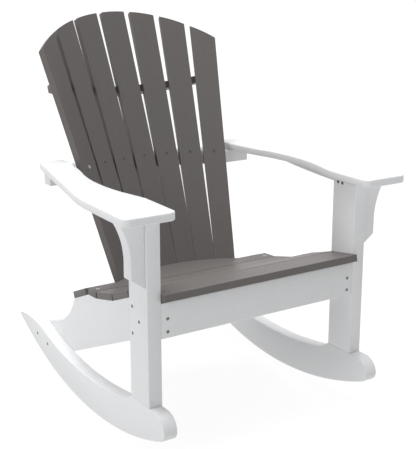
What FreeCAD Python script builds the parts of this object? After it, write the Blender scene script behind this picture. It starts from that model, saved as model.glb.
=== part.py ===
import FreeCAD, Part
import os
from math import cos, degrees, hypot, radians, sin, sqrt, tan
from types import SimpleNamespace

import Sketcher

# A rocking adirondack chair of plastic lumber, in millimetres. It faces -Y and stands on Z = 0.
# It is laid out from the front face of its posts, Y = 0, and from its middle plane, X = 0.
# At the end it is moved so that Y = 0 lies halfway between the rockers' front and rear ends.
SIZES = {
    # Boards
    "seat_width": 533.4,
    "thick_board": 33.7,
    "thin_board": 19.0,
    "seat_board": 17.0,
    "apron_board": 25.4,
    "back_board": 18.0,
    "stringer_board": 32.0,
    "slat_width": 82.5,
    "slat_gap": 3.2,
    # Rockers
    "rocker_radius": 914.4,
    "rocker_centre": 300.0,
    "rocker_depth": 82.5,
    "rocker_front": -64.4,
    "rocker_rear": 742.0,
    "tail_tip": 4.0,
    "nose_height": 50.3,
    "foot_slope": 36.0,
    "foot_slope_run": 29.0,
    "nose_top_round": 37.0,
    "nose_bottom_round": 24.0,
    "foot_round": 60.0,
    "tail_leave": 480.0,
    "tail_leave_depth": 75.6,
    "tail_hollow": 1.2,
    "tail_bend": 567.0,
    "tail_bend_depth": 73.2,
    "tail_crest": 645.0,
    "tail_crest_depth": 58.0,
    # Posts and apron
    "post_width": 82.5,
    "post_top": 559.0,
    "apron_bottom": 282.0,
    # Seat
    "seat_front": -14.0,
    "seat_front_level": 388.0,
    "front_slat_width": 87.0,
    "front_slat_round": 3.0,
    "front_seat_slope": 9.3,
    "second_seat_slope": 17.4,
    "third_seat_slope": 22.2,
    "fourth_seat_slope": 13.8,
    "rear_seat_slope": 3.7,
    "rear_slat_depth": 43.0,
    "cleat_gap": 20.5,
    "cleat_level": 284.8,
    "cleat_slope": 23.0,
    "cleat_width": 75.6,
    "cleat_bow": 57.0,
    "cleat_bow_reach": 200.0,
    # Stringers
    "stringer_underside_slope": 24.0,
    "stringer_heel": 556.0,
    "stringer_heel_depth": 107.4,
    "stringer_hollow": 15.2,
    "stringer_end": 650.0,
    "stringer_end_depth": 44.4,
    "stringer_lift": 10.0,
    # The fan of back slats: flat boards set round an upright slanting cone
    "fan_low": 292.0,
    "fan_low_radius": 288.6,
    "fan_low_front": 428.2,
    "fan_high": 562.0,
    "fan_high_radius": 358.6,
    "fan_high_front": 549.2,
    "fan_step_angle": 10.52,
    "fan_reach_down": 100.0,
    "fan_reach_up": 400.0,
    "fan_ease": 0.1,
    "back_slat_foot": 46.0,
    "back_slat_foot_width": 50.9,
    "back_slat_shoulder": 30.0,
    "back_slat_shoulder_width": 54.2,
    "back_slat_spread": 13.2,
    "back_slat_spare": 20.0,
    "crown_height": 700.5,
    "crown_radius": 346.0,
    # Back rails
    "lower_rail_length": 595.6,
    "lower_rail_front": 496.0,
    "lower_rail_end_depth": 33.7,
    "lower_rail_depth": 38.0,
    "upper_rail_height": 477.0,
    "upper_rail_depth": 38.0,
    "upper_rail_end_depth": 18.0,
    "upper_rail_overhang": 4.0,
    # Arms
    "arm_front": -53.0,
    "arm_rear": 553.0,
    "arm_inner": 253.5,
    "arm_inner_break": 82.0,
    "arm_outer": 378.0,
    "arm_outer_break": 115.0,
    "arm_outer_bow": 3.3,
    "arm_taper": 364.0,
    "arm_taper_place": 228.0,
    "arm_hip": 271.0,
    "arm_hip_place": 159.0,
    "arm_hip_bow": 10.7,
    "arm_waist": 266.0,
    "arm_waist_place": 365.0,
    "arm_waist_bow": 2.1,
    "arm_neck": 247.0,
    "arm_neck_place": 456.0,
    "arm_end_inner": 238.0,
    "arm_end_inner_place": 500.0,
    "arm_end_outer": 300.0,
    "arm_round": 18.0,
    "arm_end_round": 12.0,
    # Brackets and rails under the arms
    "bracket_front": 6.0,
    "bracket_toe": 401.0,
    "bracket_heel": 425.0,
    "bracket_bend": 465.0,
    "bracket_reach": 63.6,
    "bracket_bow": 6.8,
    "arm_rail_rear": 336.0,
    "arm_rail_depth": 22.0,
    "arm_rail_end_depth": 6.0,
    "arm_rail_bow": 3.6,
    # Fasteners
    "screw_radius": 2.4,
    "screw_head_radius": 4.2,
    "screw_head_depth": 2.6,
    "screw_proud": 0.4,
    "long_screw": 60.0,
    "slat_screw": 44.0,
    "back_screw": 50.0,
    "rail_screw": 58.0,
    "upper_screw_bite": 12.0,
    "edge_distance": 16.0,
    "front_edge_distance": 30.0,
    "apron_screw_low": 15.0,
    "apron_screw_pitch": 30.0,
    "post_screw_rear": 68.5,
    "post_screw_front": 38.0,
    "post_screw_top": 344.0,
    "post_screw_middle": 317.0,
    "post_screw_low": 281.5,
    "tail_screw_front": 554.0,
    "tail_screw_front_lift": 48.3,
    "tail_screw_rear": 620.0,
    "tail_screw_rear_lift": 35.0,
    "rail_screw_front": 49.6,
    "rail_screw_rear": 65.5,
    "rail_screw_drop": 8.0,
    "arm_screw_front": 120.0,
    "arm_screw_pitch": 85.0,
    "arm_screw": 27.0,
    "foot_screw": 110.0,
    "foot_screw_sink": 12.0,
    "foot_screw_margin": 21.0,
    "foot_bore_radius": 5.2,
    "dowel_radius": 5.0,
    "dowel_length": 40.0,
    "dowel_low": 440.0,
    "dowel_pitch": 70.0,
}

doc = FreeCAD.newDocument("RockingAdirondack")
sheet = doc.addObject("Spreadsheet::Sheet", "Sizes")
for row, (name, number) in enumerate(SIZES.items(), start=1):
    sheet.set(f"A{row}", name)
    sheet.set(f"B{row}", str(number))
    sheet.setAlias(f"B{row}", name)
doc.recompute()
size = SimpleNamespace(**{name: sheet.get(name) for name in SIZES})

SIDES = {"left": -1, "right": 1}
BACK_SLATS = 7
ARM_SCREWS = 3
X_AXIS, Z_AXIS = FreeCAD.Vector(1, 0, 0), FreeCAD.Vector(0, 0, 1)
TOUCH = 1e-6
NEAR = 0.05
parts = []


def place(thing, point, rotation=None):
    thing.Placement = FreeCAD.Placement(FreeCAD.Vector(*point), rotation or FreeCAD.Rotation())
    return thing


def keep(thing, label):
    """Name a finished sub-part and list it for writing."""
    thing.Label = label
    parts.append(thing)
    return thing


def draw(body, role, path):
    """Draw a closed outline in one of a body's own planes.

    A corner (a, b) is reached by a line. A third number is the rise of an arc to the left of that line,
    and a pair in its place is a point that the arc goes through.
    """
    sketch = body.newObject("Sketcher::SketchObject", f"{body.Name}_outline")
    plane = next(feature for feature in body.Origin.OriginFeatures if feature.Role == role)
    sketch.AttachmentSupport = [(plane, "")]
    sketch.MapMode = "FlatFace"
    ends = []
    for index, (a, b, *bend) in enumerate(path):
        start = FreeCAD.Vector(*path[index - 1][:2], 0)
        end = FreeCAD.Vector(a, b, 0)
        line = Part.LineSegment(start, end)
        if bend and isinstance(bend[0], tuple):
            line = Part.Arc(start, FreeCAD.Vector(*bend[0], 0), end)
        elif bend:
            leftward = Z_AXIS.cross(end - start).normalize()
            line = Part.Arc(start, (start + end) / 2 + leftward * bend[0], end)
        edge = sketch.addGeometry(line)
        runs_on = sketch.getPoint(edge, 1).distanceToPoint(start) < TOUCH
        ends.append((edge, 1, 2) if runs_on else (edge, 2, 1))
    for (edge, _, last), (following, first, _) in zip(ends, ends[1:] + ends[:1]):
        sketch.addConstraint(Sketcher.Constraint("Coincident", edge, last, following, first))
    return sketch


def mirrored(path, side):
    """The same outline on the right (side 1) or the left (side -1)."""
    return [(side * a, b, *(side * rise for rise in bend)) for a, b, *bend in path]


def board(label, role, path, thickness, point=(0, 0, 0), rotation=None):
    """Saw a board to an outline. It grows towards +X, +Y or +Z from its plane."""
    body = doc.addObject("PartDesign::Body", f"{label}_board")
    pad = body.newObject("PartDesign::Pad", f"{label}_pad")
    pad.Profile = draw(body, role, path)
    pad.Reversed = role == "XZ_Plane"
    pad.setExpression("Length", f"Sizes.{thickness}")
    doc.recompute()
    return place(body, point, rotation)


def round_corners(body, rounds):
    """Round the corner edges of a board, each given by its place in the outline and a size's name."""
    for (first, second), radius in rounds:
        base = body.Tip
        edges = []
        for number, edge in enumerate(base.Shape.Edges, start=1):
            ends = [vertex.Point for vertex in edge.Vertexes]
            gaps = [min(hypot(end.y - first, end.z - second), hypot(end.x - first, end.y - second))
                    for end in ends]
            if len(ends) == 2 and max(gaps) < NEAR:
                edges.append(f"Edge{number}")
        fillet = body.newObject("PartDesign::Fillet", f"{body.Name}_round")
        fillet.Base = (base, edges)
        fillet.setExpression("Radius", f"Sizes.{radius}")
        doc.recompute()
    return body


def cut(base, tools):
    """Take tools out of a piece."""
    for tool in tools:
        result = doc.addObject("Part::Cut", f"{base.Name}_cut")
        result.Base, result.Tool = base, tool
        base = result
    doc.recompute()
    return base


def box(label, length, width, height, point, rotation=None):
    """A rectangular block whose three sides are formulas of the sheet."""
    block = doc.addObject("Part::Box", label)
    for side, formula in (("Length", length), ("Width", width), ("Height", height)):
        block.setExpression(side, formula)
    return place(block, point, rotation)


def rod(label, radius, length, point, along):
    """A round bar from a point along a direction."""
    bar = doc.addObject("Part::Cylinder", label)
    bar.setExpression("Radius", radius)
    bar.setExpression("Height", length)
    return place(bar, point, FreeCAD.Rotation(Z_AXIS, FreeCAD.Vector(*along)))


def group(label, members):
    """Keep like fasteners together as separate solids, and give them back to bore their holes with."""
    kept, bores = (doc.addObject("Part::Compound", f"{label}_{use}") for use in ("kept", "bores"))
    kept.Links = bores.Links = members
    doc.recompute()
    keep(kept, label)
    return bores


def screws(label, length, seats):
    """Flat-headed screws, each set in at a point of a surface along a direction.

    A seat may add a third value, the thickness that its screw goes through before its length counts.
    """
    made = []
    for number, (point, along, *through) in enumerate(seats, start=1):
        along = FreeCAD.Vector(*along).normalize()
        top = FreeCAD.Vector(*point) - along * size.screw_proud
        reach = " + ".join([f"Sizes.{length}", *(str(thickness) for thickness in through)])
        shank = rod(f"{label}_shank_{number}", "Sizes.screw_radius", reach, top, along)
        head = rod(f"{label}_head_{number}", "Sizes.screw_head_radius",
                   "Sizes.screw_head_depth + Sizes.screw_proud", top, along)
        screw = doc.addObject("Part::Fuse", f"{label}_screw_{number}")
        screw.Base, screw.Tool = shank, head
        made.append(screw)
    return group(label, made)


# Places that more than one piece uses
half_seat = size.seat_width / 2
half_outer = half_seat + size.thick_board
stringer_inner = half_seat - size.stringer_board
stringer_middle = half_seat - size.stringer_board / 2


def outer_start(side, inner, thickness):
    """The lower X of a board that lies outwards from a face at X = inner on one side."""
    return inner if side > 0 else -inner - thickness


def above_arc(y, lift):
    """A point at a height over the arc that the rockers roll on."""
    return y, size.rocker_radius - sqrt(size.rocker_radius ** 2 - (y - size.rocker_centre) ** 2) + lift


# The seat is a chain of boards. Each starts a gap behind the one before it and has its own slope.
def seat_chain():
    y, z = size.seat_front, size.seat_front_level
    rows = []
    slopes = (size.front_seat_slope, size.second_seat_slope, size.third_seat_slope,
              size.fourth_seat_slope, size.rear_seat_slope)
    widths = (size.front_slat_width,) + 3 * (size.slat_width,) + (size.rear_slat_depth,)
    for slope, width in zip(slopes, widths):
        slope = radians(slope)
        rows.append(SimpleNamespace(y=y, z=z, slope=slope, width=width))
        y += (width + size.slat_gap) * cos(slope)
        z -= (width + size.slat_gap) * sin(slope)
    y -= size.slat_gap * cos(slope)
    cleat = SimpleNamespace(y=y + size.cleat_gap, z=size.cleat_level, slope=radians(size.cleat_slope),
                            width=size.cleat_width)
    return rows + [cleat]


def seat_point(row, along, down):
    """A point of a seat board's side, along its slope and down through its thickness."""
    return (row.y + along * cos(row.slope) - down * sin(row.slope),
            row.z - along * sin(row.slope) - down * cos(row.slope))


def crossing(row, following):
    """Where the undersides of two boards in the chain meet."""
    y1, z1 = seat_point(row, 0, size.seat_board)
    y2, z2 = seat_point(following, 0, size.seat_board)
    fall1, fall2 = -tan(row.slope), -tan(following.slope)
    y = (z2 - z1 + fall1 * y1 - fall2 * y2) / (fall1 - fall2)
    return y, z1 + fall1 * (y - y1)


seat = seat_chain()
front_row, rear_row, cleat_row = seat[0], seat[4], seat[5]


# The fan of the back. A slat's middle line runs from a low circle to a high one.
def fan_circle(level):
    """Radius and centre of the circle that the slats' front faces touch at a level."""
    share = (level - size.fan_low) / (size.fan_high - size.fan_low)
    radius = size.fan_low_radius + share * (size.fan_high_radius - size.fan_low_radius)
    front = size.fan_low_front + share * (size.fan_high_front - size.fan_low_front)
    return radius, front - radius


def fan_point(turn, level):
    radius, centre = fan_circle(level)
    return FreeCAD.Vector(radius * sin(turn), centre + radius * cos(turn), level)


def slat_axes(turn):
    """Foot point, up direction, across direction and rearward direction of a back slat."""
    foot = fan_point(turn, size.fan_low)
    up = (fan_point(turn, size.fan_high) - foot).normalize()
    rearward = FreeCAD.Vector(cos(turn), -sin(turn), 0).cross(up).normalize() * -1
    return foot, up, up.cross(rearward) * -1, rearward


middle_foot, middle_up, _, middle_rear = slat_axes(0)
fan_turns = [radians(size.fan_step_angle * (number - (BACK_SLATS - 1) / 2)) for number in range(BACK_SLATS)]


def slat_half_width(height):
    """Half the width of a back slat above its shoulder, at a height along it over its foot point."""
    top = size.crown_height + size.back_slat_spare
    share = (height - size.back_slat_shoulder) / (top - size.back_slat_shoulder)
    return (size.back_slat_shoulder_width + share * size.back_slat_spread) / 2


def fan_solid(label, behind):
    """The slanting cone along the slats' front faces, or along the edges of their rear faces."""
    rings = []
    for level in (size.fan_low - size.fan_reach_down, size.fan_high + size.fan_reach_up):
        radius, centre = fan_circle(level)
        if behind:
            half_width = slat_half_width((level - size.fan_low) / middle_up.z)
            radius = hypot(radius + size.back_board / middle_up.z, half_width) + size.fan_ease
        ring = doc.addObject("Part::Circle", f"{label}_ring")
        ring.Radius = radius
        rings.append(place(ring, (0, centre, level)))
    cone = doc.addObject("Part::Loft", label)
    cone.Sections = rings
    cone.Solid = True
    cone.Ruled = True
    return cone


front_cone = fan_solid("front_cone", False)
rear_cone = fan_solid("rear_cone", True)

# Screws through the slats of the seat into the stringers, and into the apron at the very front
slat_seats = []
for row in seat[:4]:
    for side in SIDES.values():
        first = size.front_edge_distance if row is front_row else size.edge_distance
        for along in (first, row.width - size.edge_distance):
            slat_seats.append(((side * stringer_middle, *seat_point(row, along, 0)),
                               (0, -sin(row.slope), -cos(row.slope))))
for side in SIDES.values():
    slat_seats.append(((side * stringer_middle, *seat_point(rear_row, rear_row.width / 2, 0)),
                       (0, -sin(rear_row.slope), -cos(rear_row.slope))))
    for along in (size.edge_distance, cleat_row.width - size.edge_distance):
        slat_seats.append(((side * stringer_middle, *seat_point(cleat_row, along, 0)),
                           (0, -sin(cleat_row.slope), -cos(cleat_row.slope))))
slat_screws = screws("seat_slat_screws", "slat_screw", slat_seats)

# Screws through the apron into the front ends of the stringers
apron_low = size.apron_bottom + size.apron_screw_low
apron_seats = [((side * stringer_middle, 0, level), (0, 1, 0)) for side in SIDES.values()
               for level in (apron_low, apron_low + size.apron_screw_pitch)]
apron_screws = screws("apron_screws", "long_screw", apron_seats)

# Screws from the slats' front faces into the lower rail and the cleat, at the cleat's mid-thickness
cleat_core = FreeCAD.Vector(0, *seat_point(cleat_row, 0, size.seat_board / 2))
cleat_normal = FreeCAD.Vector(0, sin(cleat_row.slope), cos(cleat_row.slope))
lower_seats, cleat_seats = [], []
for turn in fan_turns:
    foot, up, across, rearward = slat_axes(turn)
    lower_seats.append((fan_point(turn, size.fan_high), rearward))
    behind_foot = foot + rearward * size.back_board
    height = (cleat_core - behind_foot).dot(cleat_normal) / up.dot(cleat_normal)
    cleat_seats.append((foot + up * height, rearward))
lower_screws = screws("back_to_lower_rail_screws", "back_screw", lower_seats)
cleat_screws = screws("back_to_cleat_screws", "back_screw", cleat_seats)

# Seat slats
for name, row in zip(("front", "second", "third", "fourth"), seat):
    slope = FreeCAD.Rotation(X_AXIS, -degrees(row.slope))
    outline = [(0, 0), (row.width, 0), (row.width, -size.seat_board), (0, -size.seat_board)]
    slat = board(f"seat_slat_{name}", "YZ_Plane", outline, "seat_width", (-half_seat, row.y, row.z), slope)
    if row is front_row:
        round_corners(slat, [((0, 0), "front_slat_round"), ((0, -size.seat_board), "front_slat_round")])
    keep(cut(slat, [slat_screws]), f"seat_slat_{name}")

# The rear seat slat: a straight strip whose middle bulges back to the fan
tilt = FreeCAD.Rotation(X_AXIS, -degrees(rear_row.slope))
strip_corner = (-half_seat, *seat_point(rear_row, 0, size.seat_board))
strip = box("rear_strip", "Sizes.seat_width", "Sizes.rear_slat_depth", "Sizes.seat_board", strip_corner, tilt)
bulge = box("rear_bulge", "Sizes.seat_width", "Sizes.rear_slat_depth * 4", "Sizes.seat_board",
            strip_corner, tilt)
shaped = doc.addObject("Part::Common", "rear_bulge_shaped")
shaped.Base, shaped.Tool = bulge, front_cone
rear_slat = doc.addObject("Part::Fuse", "rear_slat")
rear_slat.Base, rear_slat.Tool = strip, shaped
rear_slat.Refine = True
keep(cut(rear_slat, [slat_screws, cleat_screws]), "seat_slat_rear")

# The cleat behind the feet of the back slats, a bowed board on the stringers
outline = [(-half_seat, 0), (half_seat, 0), (half_seat, size.cleat_width),
           (size.cleat_bow_reach, size.cleat_width),
           (-size.cleat_bow_reach, size.cleat_width, (0, size.cleat_width + size.cleat_bow)),
           (-half_seat, size.cleat_width)]
tilt = FreeCAD.Rotation(X_AXIS, -degrees(cleat_row.slope))
cleat = board("back_cleat", "XY_Plane", outline, "seat_board",
              (0, *seat_point(cleat_row, 0, size.seat_board)), tilt)
keep(cut(cleat, [rear_cone, slat_screws, cleat_screws]), "back_cleat")

# The front apron
slat_underside_y, slat_underside_z = seat_point(front_row, 0, size.seat_board)
apron_top = slat_underside_z - (size.apron_board - slat_underside_y) * tan(front_row.slope)
outline = [(-half_seat, size.apron_bottom), (half_seat, size.apron_bottom),
           (half_seat, apron_top), (-half_seat, apron_top)]
apron = board("front_apron", "XZ_Plane", outline, "apron_board")
keep(cut(apron, [apron_screws, slat_screws]), "front_apron")

# The lower back rail, under the arms' rear ends and behind the slats
rail_half = size.lower_rail_length / 2
rail_level = size.post_top - size.thick_board
rail_rear = size.lower_rail_front + size.lower_rail_end_depth
rear_radius, rear_centre = fan_circle(size.post_top)
rail_middle = rear_centre + rear_radius + size.back_board / middle_up.z + size.lower_rail_depth
outline = [(-rail_half, size.lower_rail_front), (rail_half, size.lower_rail_front), (rail_half, rail_rear),
           (-rail_half, rail_rear, (0, rail_middle))]
rail = board("lower_back_rail", "XY_Plane", outline, "thick_board", (0, 0, rail_level))
arm_rear_seats = [((side * x, rail_rear - size.edge_distance, rail_level), (0, 0, 1))
                  for side in SIDES.values()
                  for x in (stringer_middle, stringer_middle + size.stringer_board)]
arm_rear_screws = screws("arm_to_back_rail_screws", "slat_screw", arm_rear_seats)
keep(cut(rail, [rear_cone, lower_screws, arm_rear_screws]), "lower_back_rail")

# The upper back rail, square to the slats, with ends just past the outer ones
edge_foot, edge_up, edge_across, edge_rear = slat_axes(fan_turns[-1])
edge_corner = (edge_foot + edge_up * size.upper_rail_height
               + edge_across * slat_half_width(size.upper_rail_height) + edge_rear * size.back_board)
upper_half = edge_corner.x + size.upper_rail_overhang
upper_origin = middle_foot + middle_up * size.upper_rail_height
upper_end = (edge_corner - upper_origin).dot(middle_rear) + size.upper_rail_end_depth
upper_front = upper_end - 2 * size.upper_rail_depth
outline = [(-upper_half, upper_front), (upper_half, upper_front), (upper_half, upper_end),
           (-upper_half, upper_end, (0, size.back_board + size.upper_rail_depth))]
upper_rotation = FreeCAD.Rotation(X_AXIS, middle_rear, middle_up, "XYZ")
upper = board("upper_back_rail", "XY_Plane", outline, "thin_board", upper_origin, upper_rotation)

# Its screws go in from its bowed rear edge at mid-thickness, square to each slat
bow_drop = size.back_board + size.upper_rail_depth - upper_end
bow_radius = (upper_half ** 2 + bow_drop ** 2) / (2 * bow_drop)
bow_centre = upper_origin + middle_rear * (size.back_board + size.upper_rail_depth - bow_radius)
upper_core = upper_origin + middle_up * size.thin_board / 2
upper_seats = []
for turn in fan_turns:
    foot, up, across, rearward = slat_axes(turn)
    face = foot + up * ((upper_core - foot).dot(middle_up) / up.dot(middle_up))
    across_rail, along_rail = rearward.x, rearward.dot(middle_rear)
    start_across, start_along = face.x, (face - bow_centre).dot(middle_rear)
    spread = across_rail ** 2 + along_rail ** 2
    lean = start_across * across_rail + start_along * along_rail
    inside = start_across ** 2 + start_along ** 2 - bow_radius ** 2
    reach = (sqrt(lean ** 2 - spread * inside) - lean) / spread
    upper_seats.append((face + rearward * reach, rearward * -1, reach - size.back_board))
upper_screws = screws("upper_rail_to_back_screws", "upper_screw_bite", upper_seats)
keep(cut(upper, [rear_cone, upper_screws]), "upper_back_rail")

# Back slats, tapered to a shoulder and faster from there to the foot, where they stand side by side.
# One curve is sawn across the tops of the whole fan.
crown = doc.addObject("Part::Cylinder", "crown_curve")
crown.setExpression("Radius", "Sizes.crown_radius")
crown.setExpression("Height", "Sizes.crown_radius * 2")
crown_rotation = FreeCAD.Rotation(X_AXIS, middle_up, middle_rear * -1, "ZXY")
crown_start = (middle_foot + middle_up * (size.crown_height - size.crown_radius)
               + middle_rear * size.crown_radius)
place(crown, crown_start, crown_rotation)
waste = box("crown_waste", "Sizes.crown_radius * 4", "Sizes.crown_radius * 2", "Sizes.crown_radius * 2",
            crown_start - X_AXIS * 2 * size.crown_radius, crown_rotation)
crown_cut = cut(waste, [crown])
for number, turn in enumerate(fan_turns, start=1):
    foot, up, across, rearward = slat_axes(turn)
    low, high = -size.back_slat_foot, size.crown_height + size.back_slat_spare
    half_foot, half_top = size.back_slat_foot_width / 2, slat_half_width(high)
    shoulder, half_shoulder = size.back_slat_shoulder, slat_half_width(size.back_slat_shoulder)
    outline = [(-half_foot, low), (half_foot, low), (half_shoulder, shoulder), (half_top, high),
               (-half_top, high), (-half_shoulder, shoulder)]
    slat = board(f"back_slat_{number}", "XZ_Plane", outline, "back_board", foot,
                 FreeCAD.Rotation(across, rearward, up, "ZXY"))
    keep(cut(slat, [crown_cut, lower_screws, cleat_screws, upper_screws]), f"back_slat_{number}")

# Rockers, posts, stringers and what stands on them, mirrored left and right
toe = above_arc(size.rocker_front, 0)
toe_top = above_arc(size.rocker_front, size.nose_height)
foot_level = toe_top[1]
foot_rear = (size.post_width + size.foot_slope_run,
             foot_level - size.foot_slope_run * tan(radians(size.foot_slope)))
rocker_outline = [
    toe_top,
    (size.post_width, foot_level),
    foot_rear,
    (*above_arc(size.tail_leave, size.tail_leave_depth), (size.rocker_centre, size.rocker_depth)),
    (*above_arc(size.tail_bend, size.tail_bend_depth), -size.tail_hollow),
    (*above_arc(size.rocker_rear, size.tail_tip), above_arc(size.tail_crest, size.tail_crest_depth)),
    above_arc(size.rocker_rear, 0),
    (*toe, (size.rocker_centre, 0)),
]
rocker_rounds = [(toe_top, "nose_top_round"), (toe, "nose_bottom_round"), (foot_rear, "foot_round")]

# The stringer's top follows the undersides of the seat boards
heel = above_arc(size.stringer_heel, size.stringer_lift)
stringer_front_low = heel[1] + (heel[0] - size.apron_board) * tan(radians(size.stringer_underside_slope))
stringer_outline = [
    (size.apron_board, stringer_front_low),
    (size.apron_board, apron_top),
    *[crossing(row, following) for row, following in zip(seat[:4], seat[1:5])],
    seat_point(rear_row, rear_row.width, size.seat_board),
    seat_point(cleat_row, 0, size.seat_board),
    seat_point(cleat_row, cleat_row.width, size.seat_board),
    (*above_arc(size.stringer_heel, size.stringer_heel_depth), -size.stringer_hollow),
    above_arc(size.stringer_end, size.stringer_end_depth),
    above_arc(size.stringer_end, size.stringer_lift),
    heel,
]
arm_level = size.post_top
bracket_rear = size.bracket_front + size.thick_board
rail_outer = half_outer + size.thick_board

for name, side in SIDES.items():
    x_outer = outer_start(side, half_seat, size.thick_board)
    x_inner = outer_start(side, stringer_inner, size.stringer_board)
    post_middle = side * (half_seat + size.thick_board / 2)

    # Fasteners of this side
    post_spots = ((size.post_screw_rear, size.post_screw_top),
                  (size.post_screw_front, size.post_screw_middle),
                  (size.post_screw_rear, size.post_screw_low))
    post_seats = [((side * half_outer, y, z), (-side, 0, 0)) for y, z in post_spots]
    post_screws = screws(f"post_screws_{name}", "long_screw", post_seats)
    tail_spots = ((size.tail_screw_front, size.tail_screw_front_lift),
                  (size.tail_screw_rear, size.tail_screw_rear_lift))
    tail_seats = [((side * half_outer, *above_arc(y, lift)), (-side, 0, 0)) for y, lift in tail_spots]
    tail_screws = screws(f"rocker_screws_{name}", "rail_screw", tail_seats)
    rail_seats = [((side * half_seat, y, arm_level - size.rail_screw_drop), (side, 0, 0))
                  for y in (size.rail_screw_front, size.rail_screw_rear)]
    rail_screws = screws(f"arm_rail_screws_{name}", "long_screw", rail_seats)
    foot_seats, foot_bores = [], []
    for y in (size.foot_screw_margin, size.post_width - size.foot_screw_margin):
        seat_level = above_arc(y, size.foot_screw_sink)[1]
        foot_seats.append(((post_middle, y, seat_level), (0, 0, 1)))
        foot_bores.append(rod(f"foot_bore_{name}", "Sizes.foot_bore_radius", "Sizes.foot_screw_sink * 2",
                              (post_middle, y, seat_level - 2 * size.foot_screw_sink), (0, 0, 1)))
    foot_screws = screws(f"post_foot_screws_{name}", "foot_screw", foot_seats)
    dowel_start = side * (half_outer - size.dowel_length / 2)
    bracket_middle = size.bracket_front + size.thick_board / 2
    dowels = group(f"bracket_dowels_{name}", [
        rod(f"dowel_{name}", "Sizes.dowel_radius", "Sizes.dowel_length",
            (dowel_start, bracket_middle, level), (side, 0, 0))
        for level in (size.dowel_low, size.dowel_low + size.dowel_pitch)])
    arm_seats = []
    for count in range(ARM_SCREWS):
        y = size.arm_screw_front + count * size.arm_screw_pitch
        share = (y - bracket_rear) / (size.arm_rail_rear - bracket_rear)
        depth = size.arm_rail_depth + share * (size.arm_rail_end_depth - size.arm_rail_depth)
        depth += 4 * size.arm_rail_bow * share * (1 - share)
        arm_seats.append(((side * (half_outer + size.thick_board / 2), y, arm_level - depth), (0, 0, 1)))
    arm_screws = screws(f"arm_screws_{name}", "arm_screw", arm_seats)

    # Rocker: one board, its edge the arc that rolls on the floor
    rocker = board(f"rocker_{name}", "YZ_Plane", rocker_outline, "thick_board", (x_outer, 0, 0))
    round_corners(rocker, rocker_rounds)
    keep(cut(rocker, [tail_screws, foot_screws, *foot_bores]), f"rocker_{name}")

    # Front post, standing on the rocker's foot
    outline = [(0, foot_level), (size.post_width, foot_level), (size.post_width, size.post_top),
               (0, size.post_top)]
    post = board(f"front_post_{name}", "YZ_Plane", outline, "thick_board", (x_outer, 0, 0))
    keep(cut(post, [post_screws, rail_screws, foot_screws, dowels]), f"front_post_{name}")

    # Stringer under the seat, from the apron back along the rocker's inner face
    stringer = board(f"seat_stringer_{name}", "YZ_Plane", stringer_outline, "stringer_board", (x_inner, 0, 0))
    keep(cut(stringer, [slat_screws, apron_screws, post_screws, tail_screws]), f"seat_stringer_{name}")

    # Arm
    outline = mirrored([
        (size.arm_inner, size.arm_front),
        (size.arm_outer, size.arm_front),
        (size.arm_outer, size.arm_outer_break),
        (size.arm_taper, size.arm_taper_place, -size.arm_outer_bow),
        (size.arm_end_outer, size.arm_rear),
        (size.arm_end_inner, size.arm_rear),
        (size.arm_end_inner, size.arm_end_inner_place),
        (size.arm_neck, size.arm_neck_place),
        (size.arm_waist, size.arm_waist_place, -size.arm_waist_bow),
        (size.arm_hip, size.arm_hip_place, size.arm_hip_bow),
        (size.arm_inner, size.arm_inner_break),
    ], side)
    arm = board(f"arm_{name}", "XY_Plane", outline, "thin_board", (0, 0, arm_level))
    round_corners(arm, [((side * size.arm_inner, size.arm_front), "arm_round"),
                        ((side * size.arm_outer, size.arm_front), "arm_round"),
                        ((side * size.arm_end_outer, size.arm_rear), "arm_end_round"),
                        ((side * size.arm_end_inner, size.arm_rear), "arm_end_round")])
    keep(cut(arm, [arm_screws, arm_rear_screws]), f"arm_{name}")

    # Bracket under the arm, outside the post
    outline = mirrored([
        (half_outer, size.bracket_toe),
        (rail_outer, size.bracket_heel),
        (rail_outer, size.bracket_bend),
        (half_outer + size.bracket_reach, arm_level, size.bracket_bow),
        (half_outer, arm_level),
    ], side)
    bracket = board(f"arm_bracket_{name}", "XZ_Plane", outline, "thick_board", (0, size.bracket_front, 0))
    keep(cut(bracket, [dowels]), f"arm_bracket_{name}")

    # Rail under the arm, behind the bracket
    outline = [(bracket_rear, arm_level), (bracket_rear, arm_level - size.arm_rail_depth),
               (size.arm_rail_rear, arm_level - size.arm_rail_end_depth, -size.arm_rail_bow),
               (size.arm_rail_rear, arm_level)]
    arm_rail = board(f"arm_rail_{name}", "YZ_Plane", outline, "thick_board",
                     (outer_start(side, half_outer, size.thick_board), 0, 0))
    keep(cut(arm_rail, [rail_screws, arm_screws]), f"arm_rail_{name}")

middle = FreeCAD.Vector(0, (size.rocker_front + size.rocker_rear) / 2, 0)
for part in parts:
    part.Placement.Base -= middle
doc.recompute()
for thing in doc.Objects:
    if {"Invalid", "Error"} & set(thing.State):
        raise RuntimeError(f"{thing.Label} did not recompute: {thing.State}")
for part in parts:
    if part.Shape.isNull() or not part.Shape.isValid() or not part.Shape.Solids:
        raise RuntimeError(f"{part.Label} has no valid solid")
os.makedirs("parts", exist_ok=True)
for part in parts:
    part.Shape.exportStep(f"parts/{part.Label}.step")
print("ok", len(parts), "sub-parts")
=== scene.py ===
from math import atan2, pi, radians

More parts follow.
